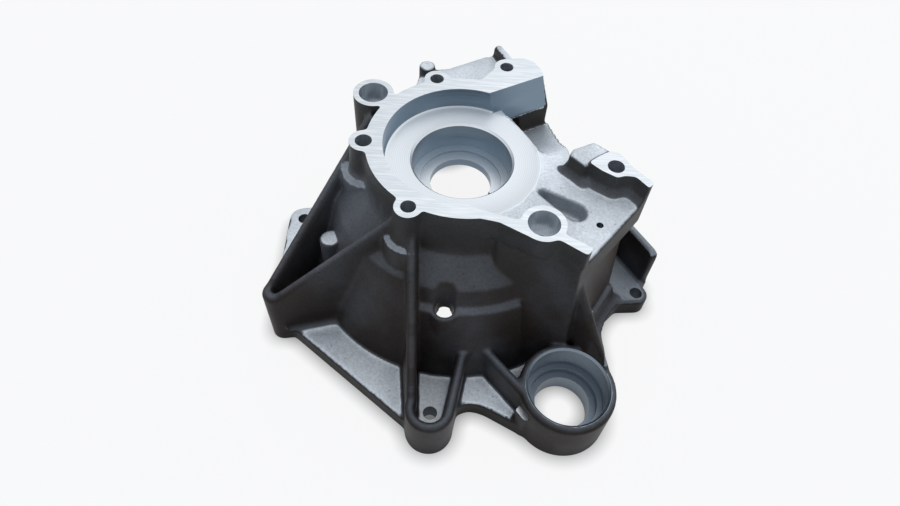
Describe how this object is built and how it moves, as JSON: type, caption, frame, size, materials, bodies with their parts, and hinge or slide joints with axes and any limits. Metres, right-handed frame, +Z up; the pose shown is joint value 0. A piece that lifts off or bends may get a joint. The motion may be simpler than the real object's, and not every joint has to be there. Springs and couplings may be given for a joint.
{
  "type": "die cast housing",
  "caption": "Bell-shaped die cast bearing housing with a milled top face, ribbed walls, a side plate, a low front bearing boss and a flanged foot with ears.",
  "frame": {"origin": "on the main bearing axis, in the foot face", "axes": "+Z up the main bore, +X to the right and +Y to the back of the picture"},
  "size_m": [0.1998, 0.2006, 0.091],
  "materials": {
    "cast_aluminium": "as cast, with milled faces and bores"
  },
  "bodies": {
    "root": {"housing": "cast_aluminium"}
  },
  "joints": []
}
